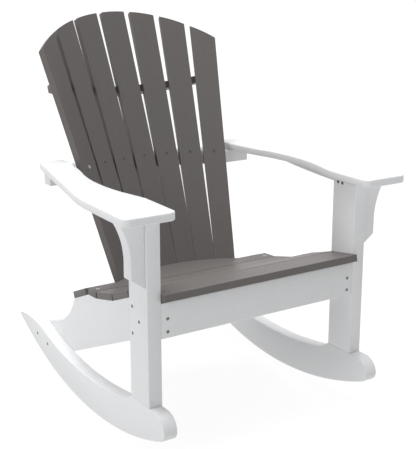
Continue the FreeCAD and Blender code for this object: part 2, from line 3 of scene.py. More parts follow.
import bmesh
import bpy
import numpy as np
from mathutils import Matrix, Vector


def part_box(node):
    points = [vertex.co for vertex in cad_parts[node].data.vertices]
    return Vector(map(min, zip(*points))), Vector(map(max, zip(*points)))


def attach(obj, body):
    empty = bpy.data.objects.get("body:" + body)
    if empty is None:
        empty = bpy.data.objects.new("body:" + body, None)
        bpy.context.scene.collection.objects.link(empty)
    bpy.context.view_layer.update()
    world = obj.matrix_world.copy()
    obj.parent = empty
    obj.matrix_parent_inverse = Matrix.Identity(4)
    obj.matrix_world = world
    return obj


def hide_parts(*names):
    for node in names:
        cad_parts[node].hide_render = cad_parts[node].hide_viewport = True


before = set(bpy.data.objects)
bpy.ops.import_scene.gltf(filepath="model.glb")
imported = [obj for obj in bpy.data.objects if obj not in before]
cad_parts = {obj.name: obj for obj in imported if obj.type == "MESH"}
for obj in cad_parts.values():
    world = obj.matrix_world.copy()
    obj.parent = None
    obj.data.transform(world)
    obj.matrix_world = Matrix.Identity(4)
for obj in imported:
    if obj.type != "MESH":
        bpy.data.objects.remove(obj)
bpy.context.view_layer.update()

# Studio
# A white sweep of floor and white surroundings, with a broad soft light overhead and a weaker one at left.
# The camera stands where the photograph's perspective puts it, left of the chair and a little above it.
CAMERA_PLACE = Vector((-1.2292, -2.0376, 1.0900))
CAMERA_TARGET = Vector((0.03207, -0.05926, 0.43341))
CAMERA_LENS = 77.95
CAMERA_SENSOR = 36.0
CAMERA_SHIFT = (-0.0017, -0.0044)
FLOOR_REACH = 40.0
FLOOR_COLOUR = (0.12, 0.12, 0.12, 1.0)
FLOOR_ROUGHNESS = 0.9
FLOOR_GLOW_SEEN = 0.93
FLOOR_GLOW_CAST = 0.63
SURROUND_CAST = 0.34
SURROUND_SEEN = 1.0
LAMP_SOFTNESS = radians(50)
LAMPS = {"overhead_lamp": (2.85, Vector((0.0, 0.23, 0.97))),
         "left_lamp": (0.68, Vector((-0.90, -0.10, 0.42)))}
FULL_WHITE = (1.0, 1.0, 1.0, 1.0)

scene = bpy.context.scene
scene.view_settings.view_transform = "Standard"
camera_data = bpy.data.cameras.new("camera")
camera_data.lens = CAMERA_LENS
camera_data.sensor_width = CAMERA_SENSOR
camera_data.shift_x, camera_data.shift_y = CAMERA_SHIFT
camera = bpy.data.objects.new("camera", camera_data)
camera.location = CAMERA_PLACE
camera.rotation_euler = (CAMERA_TARGET - CAMERA_PLACE).to_track_quat("-Z", "Y").to_euler()
scene.collection.objects.link(camera)
scene.camera = camera


def fill(tree, sockets, values):
    """Give sockets their values: a number, a colour or another node's output."""
    for socket, value in values.items():
        if isinstance(value, bpy.types.NodeSocket):
            tree.links.new(value, sockets[socket])
        else:
            sockets[socket].default_value = value


def node(tree, kind, inputs=None, **settings):
    """Add a node with its settings and inputs."""
    made = tree.nodes.new(kind)
    made.location.x = 180 * len(tree.nodes)
    for name, value in settings.items():
        setattr(made, name, value)
    fill(tree, made.inputs, inputs or {})
    return made


def maths(tree, operation, *terms):
    """A sum, product or the like of one or two numbers."""
    return node(tree, "ShaderNodeMath", dict(enumerate(terms)), operation=operation).outputs["Value"]


def mapped(tree, value, low, high, to_low=0.0, to_high=1.0):
    """A number's run from low to high, turned into a run between two others."""
    return node(tree, "ShaderNodeMapRange", {"Value": value, "From Min": low, "From Max": high,
                                             "To Min": to_low, "To Max": to_high}).outputs["Result"]


def seen_or_cast(tree, seen, cast):
    """One strength where the camera or a reflection meets a surface, another where it lights things."""
    path = node(tree, "ShaderNodeLightPath").outputs
    either = maths(tree, "MAXIMUM", path["Is Camera Ray"], path["Is Glossy Ray"])
    return mapped(tree, either, 0.0, 1.0, cast, seen)


def new_material(name):
    """Start a material. Its node tree and its shader's inputs come with it."""
    material = bpy.data.materials.new(name)
    material.use_nodes = True
    return material, material.node_tree, material.node_tree.nodes["Principled BSDF"].inputs


floor_material, floor_tree, floor_skin = new_material("studio_floor")
floor_glow = seen_or_cast(floor_tree, FLOOR_GLOW_SEEN, FLOOR_GLOW_CAST)
fill(floor_tree, floor_skin, {"Base Color": FLOOR_COLOUR, "Roughness": FLOOR_ROUGHNESS,
                              "Specular IOR Level": 0.0, "Emission Color": FULL_WHITE,
                              "Emission Strength": floor_glow})
floor_mesh = bpy.data.meshes.new("studio_floor")
floor_mesh.from_pydata([(-FLOOR_REACH, -FLOOR_REACH, 0), (FLOOR_REACH, -FLOOR_REACH, 0),
                        (FLOOR_REACH, FLOOR_REACH, 0), (-FLOOR_REACH, FLOOR_REACH, 0)], [], [(0, 1, 2, 3)])
floor_mesh.materials.append(floor_material)
studio_floor = bpy.data.objects.new("studio_floor", floor_mesh)
scene.collection.objects.link(studio_floor)

world = bpy.data.worlds.new("studio")
world.use_nodes = True
world.node_tree.nodes.clear()
surround_glow = seen_or_cast(world.node_tree, SURROUND_SEEN, SURROUND_CAST)
surround = node(world.node_tree, "ShaderNodeBackground", {"Color": FULL_WHITE, "Strength": surround_glow})
node(world.node_tree, "ShaderNodeOutputWorld", {"Surface": surround.outputs["Background"]})
scene.world = world

for name, (strength, place) in LAMPS.items():
    lamp_data = bpy.data.lights.new(name, "SUN")
    lamp_data.energy = strength
    lamp_data.angle = LAMP_SOFTNESS
    lamp = bpy.data.objects.new(name, lamp_data)
    lamp.rotation_euler = place.to_track_quat("Z", "Y").to_euler()
    scene.collection.objects.link(lamp)

# Rockers
# Two boards of white plastic lumber 34 mm thick, sawn to an arc below and a hollow curve above.
# Their sawn edges are rounded over a little, and each carries a front post on its foot.
BOARD_ROUND = 0.0016
ROUND_STEPS = 3
SHARP = radians(30)
FASTENERS = [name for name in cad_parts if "screws" in name or "dowels" in name]
BORE_RADIUS = 0.0056
BORE_REACH = 0.014
SAME_PLACE = 1e-6
CLEARLY_WIDER = 1e-4
NEARLY_FLAT = radians(0.4)
GRAIN_STEP, GRAIN_STARTS = 3.7, 97
WHITE = (0.842, 0.850, 0.860, 1.0)
WHITE_RUBBED = (0.90, 0.905, 0.91, 1.0)
WHITE_DUST = (0.80, 0.79, 0.77, 1.0)
LUMBER_GLOSS_SPREAD = 0.05


def corner_places(mesh):
    """The places of a mesh's corners, one in each row."""
    return np.array([corner.co for corner in mesh.vertices]).reshape(-1, 3)


def islands(mesh):
    """The corner numbers of each separate shell of a mesh, in order along X, Y and Z."""
    parent = list(range(len(mesh.vertices)))

    def root(corner):
        while parent[corner] != corner:
            parent[corner] = parent[parent[corner]]
            corner = parent[corner]
        return corner

    for edge in mesh.edges:
        first, second = (root(corner) for corner in edge.vertices)
        parent[first] = second
    shells = {}
    for corner in range(len(parent)):
        shells.setdefault(root(corner), []).append(corner)
    places = corner_places(mesh)
    return sorted(shells.values(), key=lambda shell: tuple(np.round(places[shell].mean(0), 4)))


def merged(name):
    """A copy of a CAD node's mesh with its loose triangles joined up."""
    shape = bmesh.new()
    shape.from_mesh(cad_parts[name].data)
    bmesh.ops.remove_doubles(shape, verts=shape.verts, dist=SAME_PLACE)
    return shape


def own_axes(mesh, shell):
    """Middle of a shell and its long, middle and short directions, from its surface's second moments."""
    inside = set(shell)
    mesh.calc_loop_triangles()
    corners = np.array([[mesh.vertices[corner].co for corner in triangle.vertices]
                        for triangle in mesh.loop_triangles if triangle.vertices[0] in inside])
    areas = np.linalg.norm(np.cross(corners[:, 1] - corners[:, 0], corners[:, 2] - corners[:, 0]), axis=1) / 2
    centroids = corners.mean(axis=1)
    middle = (centroids * areas[:, None]).sum(0) / areas.sum()
    arms = corners - middle
    # A triangle spreads by a twelfth of its area times the sum over its corners and nine times its middle
    spread = np.einsum("t,tij,tik->jk", areas / 12, arms, arms)
    spread += np.einsum("t,tj,tk->jk", areas * 9 / 12, centroids - middle, centroids - middle)
    directions = np.linalg.eigh(spread)[1].T[::-1]
    for direction in directions:
        if direction[np.abs(direction).argmax()] < 0:
            direction *= -1
    return middle, directions


def fastener_lines():
    """Top, direction inwards and length of every screw and dowel of the CAD."""
    lines = {}
    for name in FASTENERS:
        mesh = bpy.data.meshes.new("fastener")
        shape = merged(name)
        shape.to_mesh(mesh)
        shape.free()
        places = corner_places(mesh)
        lines[name] = []
        for shell in islands(mesh):
            middle, (along, _, _) = own_axes(mesh, shell)
            reach = (places[shell] - middle) @ along
            width = np.linalg.norm(places[shell] - middle - np.outer(reach, along), axis=1)
            if width[reach > reach.mean()].max() > width[reach < reach.mean()].max() + CLEARLY_WIDER:
                along, reach = -along, -reach
            lines[name].append((middle + along * reach.min(), along, np.ptp(reach)))
        bpy.data.meshes.remove(mesh)
    return lines


fasteners = fastener_lines()


def without_bores(name):
    """A CAD board as a mesh of whole flat faces, with its screw holes filled."""
    shape = merged(name)
    low, high = (np.array(corner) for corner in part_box(name))
    for top, along, length in (line for lines in fasteners.values() for line in lines):
        ends = np.array((top, top + along * length))
        if not ((ends.max(0) > low - BORE_REACH) & (ends.min(0) < high + BORE_REACH)).all():
            continue
        top, along = Vector(top), Vector(along)
        bored = []
        for face in shape.faces:
            gaps = [corner.co - top for corner in face.verts]
            if all(-BORE_REACH < gap.dot(along) < length + BORE_REACH
                   and (gap - along * gap.dot(along)).length < BORE_RADIUS for gap in gaps):
                bored.append(face)
        bmesh.ops.delete(shape, geom=bored, context="FACES")
    rims = [edge for edge in shape.edges if edge.is_boundary]
    bmesh.ops.holes_fill(shape, edges=rims, sides=0)
    bmesh.ops.dissolve_limit(shape, angle_limit=NEARLY_FLAT, verts=shape.verts, edges=shape.edges)
    bmesh.ops.recalc_face_normals(shape, faces=shape.faces)
    mesh = bpy.data.meshes.new(name + "_sawn")
    shape.to_mesh(mesh)
    shape.free()
    return mesh


def plain(source, name):
    """The result of an object's modifiers as a plain mesh object. The source goes."""
    scene.collection.objects.link(source)
    bpy.context.view_layer.update()
    depsgraph = bpy.context.evaluated_depsgraph_get()
    mesh = bpy.data.meshes.new_from_object(source.evaluated_get(depsgraph))
    mesh.name = name
    bpy.data.objects.remove(source)
    made = bpy.data.objects.new(name, mesh)
    scene.collection.objects.link(made)
    return made


def lay_grain(mesh):
    """Give each board of a mesh its own coordinates: along the grain, across it and through it.

    Each starts at another place along the grain, so that no two boards show the same streaks.
    """
    places = corner_places(mesh)
    board = np.zeros_like(places)
    for number, shell in enumerate(islands(mesh)):
        middle, directions = own_axes(mesh, shell)
        board[shell] = (places[shell] - middle) @ directions.T
        board[shell, 0] += GRAIN_STEP * (number + 1) + sum(mesh.name.encode()) % GRAIN_STARTS
    laid = mesh.attributes.new("board", "FLOAT_VECTOR", "POINT")
    laid.data.foreach_set("vector", board.ravel().astype(np.float32))


def lumber(mesh, name, nodes, material, rounding):
    """Round a sawn board's edges over, lay its grain, mark its rims and let it stand for its CAD nodes.

    The material is there twice until the rims are marked, since the rounding gets the second place.
    """
    mesh.materials.clear()
    mesh.materials.append(material)
    mesh.materials.append(material)
    for face in mesh.polygons:
        face.use_smooth = True
        face.material_index = 0
    sawn = bpy.data.objects.new(name + "_sawn", mesh)
    bevel = sawn.modifiers.new("roundover", "BEVEL")
    bevel.width = rounding
    bevel.segments = ROUND_STEPS
    bevel.limit_method = "ANGLE"
    bevel.angle_limit = SHARP
    bevel.harden_normals = True
    bevel.material = 1
    board = plain(sawn, name)
    rim = board.data.attributes.new("rim", "FLOAT", "FACE")
    rim.data.foreach_set("value", [float(face.material_index) for face in board.data.polygons])
    for face in board.data.polygons:
        face.material_index = 0
    board.data.materials.pop()
    lay_grain(board.data)
    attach(board, "root")
    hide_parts(*nodes)


SOCKET_KINDS = {float: "NodeSocketFloat", int: "NodeSocketInt", tuple: "NodeSocketColor",
                str: "NodeSocketMaterial"}


def tree_with(name, kind, inputs, outputs):
    """Start a node tree with named inputs and outputs, each made from a first value."""
    tree = bpy.data.node_groups.new(name, kind)
    for sockets, in_out in ((inputs, "INPUT"), (outputs, "OUTPUT")):
        for label, value in sockets.items():
            kind_of_socket = "NodeSocketGeometry" if value is None else SOCKET_KINDS[type(value)]
            socket = tree.interface.new_socket(label, in_out=in_out, socket_type=kind_of_socket)
            if value is not None and kind_of_socket != "NodeSocketMaterial":
                socket.default_value = value
    return tree, node(tree, "NodeGroupInput").outputs


def vector_maths(tree, operation, *terms):
    """A vector sum, product or the like of one or two terms."""
    made = node(tree, "ShaderNodeVectorMath", dict(enumerate(terms)), operation=operation)
    return made.outputs["Value" if operation == "DOT_PRODUCT" else "Vector"]


def scaled(tree, vector, factor):
    """A vector or a colour times a number."""
    made = node(tree, "ShaderNodeVectorMath", {0: vector, "Scale": factor}, operation="SCALE")
    return made.outputs["Vector"]


def joined(tree, x, y, z):
    """Three numbers as a vector."""
    return node(tree, "ShaderNodeCombineXYZ", {"X": x, "Y": y, "Z": z}).outputs["Vector"]


def noise(tree, place, scale, detail, roughness=0.5):
    """Soft noise that is about a half on average, finer at a higher scale."""
    return node(tree, "ShaderNodeTexNoise", {"Vector": place, "Scale": scale, "Detail": detail,
                                             "Roughness": roughness}).outputs["Fac"]


def mark(tree, name, output="Fac"):
    """What a mesh carries under a name."""
    return node(tree, "ShaderNodeAttribute", attribute_name=name).outputs[output]


def blended(tree, mask, first, second):
    """The first colour where a mask is 0 and the second where it is 1."""
    return node(tree, "ShaderNodeMix", {0: mask, 6: first, 7: second}, data_type="RGBA").outputs[2]


def bumped(tree, height, relief):
    """A surface's direction with a fine relief."""
    made = node(tree, "ShaderNodeBump", {"Height": height, "Strength": 1.0, "Distance": relief})
    return made.outputs["Normal"]


def shade(tree, colour, mask, depth):
    """A colour made darker or lighter by a mask that is about a half on average."""
    low, high = maths(tree, "SUBTRACT", 1.0, depth), maths(tree, "ADD", 1.0, depth)
    return scaled(tree, colour, mapped(tree, mask, 0.25, 0.75, low, high))


def grain_group():
    """Fine streaks that run along a board, drawn out as it was extruded."""
    tree, entry = tree_with("lumber_grain", "ShaderNodeTree",
                            {"Colour": FULL_WHITE, "Depth": 0.02, "Streaks Along": 7.0,
                             "Streaks Across": 240.0},
                            {"Colour": FULL_WHITE, "Streak": 0.0})
    stretch = joined(tree, entry["Streaks Along"], entry["Streaks Across"], entry["Streaks Across"])
    drawn = vector_maths(tree, "MULTIPLY", mark(tree, "board", "Vector"), stretch)
    streak = noise(tree, drawn, scale=1.0, detail=3.0, roughness=0.55)
    node(tree, "NodeGroupOutput", {"Colour": shade(tree, entry["Colour"], streak, entry["Depth"]),
                                   "Streak": streak})
    return tree


def mottle_group():
    """Faint cloudy patches where the melt cooled unevenly, with the fine pitting of its skin."""
    tree, entry = tree_with("cooled_mottle", "ShaderNodeTree",
                            {"Colour": FULL_WHITE, "Depth": 0.01, "Patches": 60.0, "Pits": 900.0},
                            {"Colour": FULL_WHITE, "Patch": 0.0, "Pit": 0.0})
    place = node(tree, "ShaderNodeTexCoord").outputs["Object"]
    patch = noise(tree, place, entry["Patches"], detail=3.0, roughness=0.6)
    pit = noise(tree, place, entry["Pits"], detail=1.0)
    node(tree, "NodeGroupOutput", {"Colour": shade(tree, entry["Colour"], patch, entry["Depth"]),
                                   "Patch": patch, "Pit": pit})
    return tree


def rub_group():
    """Rounded edges that hands and cloths have rubbed, in broken lengths."""
    tree, entry = tree_with("edge_rub", "ShaderNodeTree",
                            {"Colour": FULL_WHITE, "Rubbed": FULL_WHITE, "Amount": 0.5, "Breaks": 35.0},
                            {"Colour": FULL_WHITE})
    place = node(tree, "ShaderNodeTexCoord").outputs["Object"]
    worn = mapped(tree, noise(tree, place, entry["Breaks"], detail=3.0), 0.40, 0.62)
    edge = maths(tree, "MULTIPLY", mark(tree, "rim"), worn)
    mask = maths(tree, "MULTIPLY", edge, entry["Amount"])
    node(tree, "NodeGroupOutput", {"Colour": blended(tree, mask, entry["Colour"], entry["Rubbed"])})
    return tree


def dust_group():
    """A trace of dust that lies on faces turned upwards."""
    tree, entry = tree_with("fine_dust", "ShaderNodeTree",
                            {"Colour": FULL_WHITE, "Dust": FULL_WHITE, "Amount": 0.1, "Drifts": 14.0},
                            {"Colour": FULL_WHITE})
    facing = node(tree, "ShaderNodeNewGeometry").outputs["Normal"]
    upward = node(tree, "ShaderNodeSeparateXYZ", {"Vector": facing}).outputs["Z"]
    place = node(tree, "ShaderNodeTexCoord").outputs["Object"]
    drift = noise(tree, place, entry["Drifts"], detail=5.0, roughness=0.65)
    lying = maths(tree, "MULTIPLY", mapped(tree, upward, 0.6, 1.0), drift)
    mask = maths(tree, "MULTIPLY", lying, entry["Amount"])
    node(tree, "NodeGroupOutput", {"Colour": blended(tree, mask, entry["Colour"], entry["Dust"])})
    return tree


lumber_grain, cooled_mottle, edge_rub, fine_dust = grain_group(), mottle_group(), rub_group(), dust_group()


def layer(tree, group, colour, **measures):
    """The outputs of a shading group laid over a colour."""
    return node(tree, "ShaderNodeGroup", {"Colour": colour, **measures}, node_tree=group).outputs


def lumber_material(name, colour, rubbed, dust, grain, mottle, rub, dusty, satin, relief):
    """Plastic lumber coloured right through: satin skin, drawn-out grain, cloudy patches, rubbed rims."""
    material, tree, skin = new_material(name)
    grained = layer(tree, lumber_grain, colour, Depth=grain)
    clouded = layer(tree, cooled_mottle, grained["Colour"], Depth=mottle)
    edged = layer(tree, edge_rub, clouded["Colour"], Rubbed=rubbed, Amount=rub)
    dusted = layer(tree, fine_dust, edged["Colour"], Dust=dust, Amount=dusty)
    uneven = maths(tree, "ADD", grained["Streak"], clouded["Patch"])
    height = maths(tree, "ADD", grained["Streak"], clouded["Pit"])
    gloss = mapped(tree, uneven, 0.6, 1.4, satin - LUMBER_GLOSS_SPREAD, satin + LUMBER_GLOSS_SPREAD)
    fill(tree, skin, {"Base Color": dusted["Colour"], "Roughness": gloss,
                      "Normal": bumped(tree, height, relief)})
    return material


def white_board(part, rounding=BOARD_ROUND):
    """Dress one CAD board in white lumber."""
    lumber(without_bores(part), f"white_{part}", [part], white_lumber, rounding)


white_lumber = lumber_material("white_lumber", WHITE, WHITE_RUBBED, WHITE_DUST, grain=0.008, mottle=0.012,
                               rub=0.4, dusty=0.05, satin=0.46, relief=0.00004)
for side in ("left", "right"):
    white_board(f"rocker_{side}")

# Front posts
# A straight white board on each rocker's foot, screwed up through it from below.
# Three screws from outside hold the stringer, and the arm rests on its top.
for side in ("left", "right"):
    white_board(f"front_post_{side}")

# Stringers and apron
# White boards under the seat: the stringers are sawn to the hollow of the seat and run back down
# along the rockers, and the apron closes them in front with two screws into each.
for part in ("seat_stringer_left", "seat_stringer_right", "front_apron"):
    white_board(part)

# Seat slats
# Four charcoal lumber boards laid across the stringers, following their hollow a few millimetres apart.
# They are sawn to one length and their edges are barely eased.
SLAT_ROUND = 0.0012
SEAT_SLATS = [f"seat_slat_{row}" for row in ("front", "second", "third", "fourth")]
CHARCOAL = (0.129, 0.117, 0.1125, 1.0)
CHARCOAL_RUBBED = (0.19, 0.18, 0.175, 1.0)
CHARCOAL_DUST = (0.42, 0.40, 0.38, 1.0)
charcoal_lumber = lumber_material("charcoal_lumber", CHARCOAL, CHARCOAL_RUBBED, CHARCOAL_DUST, grain=0.05,
                                  mottle=0.03, rub=0.5, dusty=0.06, satin=0.50, relief=0.00003)


def charcoal_board(part):
    """Dress one CAD board in charcoal lumber."""
    lumber(without_bores(part), f"charcoal_{part}", [part], charcoal_lumber, SLAT_ROUND)


def carried(tree, name, kind="FLOAT"):
    """What each point or corner carries under a name."""
    return node(tree, "GeometryNodeInputNamedAttribute", {"Name": name}, data_type=kind).outputs["Attribute"]


def board_row_tree():
    """Boards of one length and thickness, each at a point with its own slope and width."""
    tree, entry = tree_with("row_of_boards", "GeometryNodeTree",
                            {"Points": None, "Length": 0.5, "Thickness": 0.02, "Material": "lumber"},
                            {"Boards": None})
    blank = node(tree, "GeometryNodeMeshCube").outputs["Mesh"]
    measure = joined(tree, entry["Length"], carried(tree, "width"), entry["Thickness"])
    turn = joined(tree, carried(tree, "slope"), 0.0, 0.0)
    set_out = node(tree, "GeometryNodeInstanceOnPoints", {"Points": entry["Points"], "Instance": blank,
                                                          "Rotation": turn, "Scale": measure})
    real = node(tree, "GeometryNodeRealizeInstances", {"Geometry": set_out.outputs["Instances"]})
    finished = node(tree, "GeometryNodeSetMaterial", {"Geometry": real.outputs["Geometry"],
                                                      "Material": entry["Material"]})
    node(tree, "NodeGroupOutput", {"Boards": finished.outputs["Geometry"]})
    return tree


def grown(name, tree, values, points=(), dropped=(), **numbers):
    """Run a tree on points that carry numbers, and keep what it makes as a plain mesh."""
    mesh = bpy.data.meshes.new(name + "_points")
    mesh.from_pydata([tuple(point) for point in points], [], [])
    for label, column in numbers.items():
        column = np.array(column, dtype=np.float32)
        kind, field = ("FLOAT_VECTOR", "vector") if column.ndim == 2 else ("FLOAT", "value")
        mesh.attributes.new(label, kind, "POINT").data.foreach_set(field, column.ravel())
    source = bpy.data.objects.new(name + "_points", mesh)
    modifier = source.modifiers.new(name, "NODES")
    modifier.node_group = tree
    for socket in tree.interface.items_tree:
        if socket.in_out == "INPUT" and socket.name in values:
            modifier[socket.identifier] = values[socket.name]
    made = plain(source, name)
    for label in dropped:
        made.data.attributes.remove(made.data.attributes[label])
    return made


rows = []
for part in SEAT_SLATS:
    sawn = without_bores(part)
    middle, (along, across, through) = own_axes(sawn, range(len(sawn.vertices)))
    places = corner_places(sawn)
    axes = (along, across, through)
    length, width, thickness = (np.ptp(places @ axis) for axis in axes)
    centre = sum(axis * ((places @ axis).max() + (places @ axis).min()) / 2 for axis in axes)
    rows.append((centre, atan2(across[2], across[1]), width))
    bpy.data.meshes.remove(sawn)
seat_slats = grown("seat_slats_row", board_row_tree(),
                   {"Length": float(length), "Thickness": float(thickness), "Material": charcoal_lumber},
                   [row[0] for row in rows], ("slope", "width"), slope=[row[1] for row in rows],
                   width=[row[2] for row in rows])
seat_mesh = seat_slats.data
bpy.data.objects.remove(seat_slats)
lumber(seat_mesh, "charcoal_seat_slats", SEAT_SLATS, charcoal_lumber, SLAT_ROUND)

# Rear seat slat and cleat
# The last seat board bulges back to meet the fan of the back, and the cleat behind is hollowed to the
# fan's rear. Between them they grip the feet of the back slats, which are screwed to the cleat.
for part in ("seat_slat_rear", "back_cleat"):
    charcoal_board(part)

# Arms
# White boards on the posts and brackets, wide and square in front with rounded corners, waisted
# along the inside and narrowed to the rear, where they rest on the lower back rail.
ARM_ROUND = 0.0030
for side in ("left", "right"):
    white_board(f"arm_{side}", ARM_ROUND)

# Arm brackets and rails
# Under each arm a curved bracket is pegged to the post's outer face, and a thin rail tapers back
# from it, screwed through the post and up into the arm.
for part in ("arm_bracket", "arm_rail"):
    for side in ("left", "right"):
        white_board(f"{part}_{side}")

# Back rails
# The lower rail is white, spans the arms' rear ends and is hollowed to the fan. The upper one is
# charcoal, thinner, bowed behind the slats and set square to them.
white_board("lower_back_rail")
charcoal_board("upper_back_rail")

# Back slats
# Seven charcoal boards spread like a fan round a leaning cone, with one curve sawn across all their
# tops. They taper to a shoulder, and faster below it, where their feet stand side by side.
FAN = {"Slats": 7, "Turn": radians(10.52), "Low Radius": 0.2886, "Low Front": 0.0894, "Low Level": 0.2920,
       "High Radius": 0.3586, "High Front": 0.2104, "High Level": 0.5620, "Drop": 0.0460, "Shoulder": 0.0300,
       "Rise": 0.7205, "Foot Width": 0.0509, "Shoulder Width": 0.0542, "Top Width": 0.0674,
       "Thickness": 0.0180, "Crown Radius": 0.3460, "Crown Height": 0.7005, "Top Cuts": 9}


def stored(tree, geometry, name, value, kind="FLOAT"):
    """A geometry whose points or corners carry a value under a name."""
    return node(tree, "GeometryNodeStoreNamedAttribute", {"Geometry": geometry, "Name": name, "Value": value},
                data_type=kind, domain="POINT").outputs["Geometry"]


def fan_tree():
    """Tapered boards set round a leaning cone, their tops sawn to one curve."""
    tree, entry = tree_with("fan_of_slats", "GeometryNodeTree",
                            {"Start": None, **FAN, "Material": "lumber"}, {"Slats": None})

    def on_circle(turn, which):
        """A point at a turn round the low or the high circle of the cone."""
        radius, front = entry[f"{which} Radius"], entry[f"{which} Front"]
        forward = maths(tree, "MULTIPLY", radius, maths(tree, "SUBTRACT", maths(tree, "COSINE", turn), 1.0))
        return joined(tree, maths(tree, "MULTIPLY", radius, maths(tree, "SINE", turn)),
                      maths(tree, "ADD", front, forward), entry[f"{which} Level"])

    def leaning(turn):
        """Foot, up direction and rearward direction of a slat at a turn round the cone."""
        foot = on_circle(turn, "Low")
        up = vector_maths(tree, "NORMALIZE", vector_maths(tree, "SUBTRACT", on_circle(turn, "High"), foot))
        sideways = joined(tree, maths(tree, "COSINE", turn),
                          maths(tree, "SUBTRACT", 0.0, maths(tree, "SINE", turn)), 0.0)
        rearward = vector_maths(tree, "NORMALIZE", vector_maths(tree, "CROSS_PRODUCT", up, sideways))
        return foot, up, rearward

    index = node(tree, "GeometryNodeInputIndex").outputs["Index"]
    half = maths(tree, "DIVIDE", maths(tree, "SUBTRACT", entry["Slats"], 1.0), 2.0)
    turn = maths(tree, "MULTIPLY", maths(tree, "SUBTRACT", index, half), entry["Turn"])
    foot, up, rearward = leaning(turn)
    points = node(tree, "GeometryNodePoints", {"Count": entry["Slats"], "Position": foot}).outputs["Points"]
    marked = stored(tree, points, "slat_up", up, "FLOAT_VECTOR")

    blank = node(tree, "GeometryNodeMeshCube", {"Size": (1, 1, 1), "Vertices X": entry["Top Cuts"],
                                                "Vertices Y": 2, "Vertices Z": 3}).outputs["Mesh"]
    place = node(tree, "GeometryNodeInputPosition").outputs["Position"]
    corner = node(tree, "ShaderNodeSeparateXYZ", {"Vector": place}).outputs

    def along_slat(foot, shoulder, top):
        """A measure that changes evenly from the foot to the shoulder, and from there to the top."""
        lower = mapped(tree, corner["Z"], -0.5, 0.0, foot, shoulder)
        upper = mapped(tree, corner["Z"], 0.0, 0.5, 0.0, maths(tree, "SUBTRACT", top, shoulder))
        return maths(tree, "ADD", lower, upper)

    width = along_slat(entry["Foot Width"], entry["Shoulder Width"], entry["Top Width"])
    level = along_slat(maths(tree, "SUBTRACT", 0.0, entry["Drop"]), entry["Shoulder"], entry["Rise"])
    behind = maths(tree, "MULTIPLY", maths(tree, "ADD", corner["Y"], 0.5), entry["Thickness"])
    flagged = stored(tree, blank, "slat_top", maths(tree, "GREATER_THAN", corner["Z"], 0.25))
    beside = maths(tree, "MULTIPLY", corner["X"], width)
    tapered = node(tree, "GeometryNodeSetPosition",
                   {"Geometry": flagged, "Position": joined(tree, beside, behind, level)}).outputs["Geometry"]

    facing = node(tree, "FunctionNodeAxesToRotation", {"Primary Axis": up, "Secondary Axis": rearward},
                  primary_axis="Z", secondary_axis="Y").outputs["Rotation"]
    fanned = node(tree, "GeometryNodeInstanceOnPoints", {"Points": marked, "Instance": tapered,
                                                         "Rotation": facing}).outputs["Instances"]
    real = node(tree, "GeometryNodeRealizeInstances", {"Geometry": fanned}).outputs["Geometry"]

    middle_foot, middle_up, middle_rear = leaning(0.0)
    to_centre = maths(tree, "SUBTRACT", entry["Crown Height"], entry["Crown Radius"])
    centre = vector_maths(tree, "ADD", middle_foot, scaled(tree, middle_up, to_centre))
    place = node(tree, "GeometryNodeInputPosition").outputs["Position"]
    from_centre = vector_maths(tree, "SUBTRACT", place, centre)
    own_up = carried(tree, "slat_up", "FLOAT_VECTOR")

    def flat(vector):
        """The part of a vector that lies in the plane of the crown's curve."""
        along = vector_maths(tree, "DOT_PRODUCT", vector, middle_rear)
        return vector_maths(tree, "SUBTRACT", vector, scaled(tree, middle_rear, along))

    start, way = flat(from_centre), flat(own_up)
    lean = vector_maths(tree, "DOT_PRODUCT", start, way)
    speed = vector_maths(tree, "DOT_PRODUCT", way, way)
    short = maths(tree, "SUBTRACT", vector_maths(tree, "DOT_PRODUCT", start, start),
                  maths(tree, "MULTIPLY", entry["Crown Radius"], entry["Crown Radius"]))
    under = maths(tree, "SUBTRACT", maths(tree, "MULTIPLY", lean, lean),
                  maths(tree, "MULTIPLY", speed, short))
    reach = maths(tree, "DIVIDE", maths(tree, "SUBTRACT", maths(tree, "SQRT", under), lean), speed)
    slide = scaled(tree, own_up, maths(tree, "MULTIPLY", reach, carried(tree, "slat_top")))
    crowned = node(tree, "GeometryNodeSetPosition", {"Geometry": real, "Offset": slide}).outputs["Geometry"]
    finished = node(tree, "GeometryNodeSetMaterial", {"Geometry": crowned, "Material": entry["Material"]})
    node(tree, "NodeGroupOutput", {"Slats": finished.outputs["Geometry"]})
    return tree


fan = grown("fan_of_slats", fan_tree(), {**FAN, "Material": charcoal_lumber}, dropped=("slat_up", "slat_top"))
fan_mesh = fan.data
bpy.data.objects.remove(fan)
lumber(fan_mesh, "charcoal_back_slats", [f"back_slat_{number}" for number in range(1, FAN["Slats"] + 1)],
       charcoal_lumber, SLAT_ROUND)

# Screws
# Flat-headed screws with a shallow six-lobed socket, set a hair proud. Those in the white boards are dull
# grey, darkened further as painted shade, and those in the charcoal boards are coated dark, but three carry a
# painted glint.
AROUND = 24
SOCKET_LOBES = 6
SCREW = {"Shank Radius": 0.0024, "Head Radius": 0.0042, "Head Depth": 0.0030, "Socket Radius": 0.0021,
         "Socket Depth": 0.00033, "Lobe Depth": 0.14, "Seed": 3}
SEAM = 1e-5
# Partly the steel's own dull grey, partly painted shade: darker than the steel alone, for the shade of a
# countersink round each head
GREY_STEEL_AND_SHADE = (0.30, 0.30, 0.305, 1.0)
COATED_STEEL = (0.090, 0.084, 0.081, 1.0)
# Painted glint: the bright steel colour given to the three screws listed below
GLINT_STEEL = (0.80, 0.80, 0.81, 1.0)
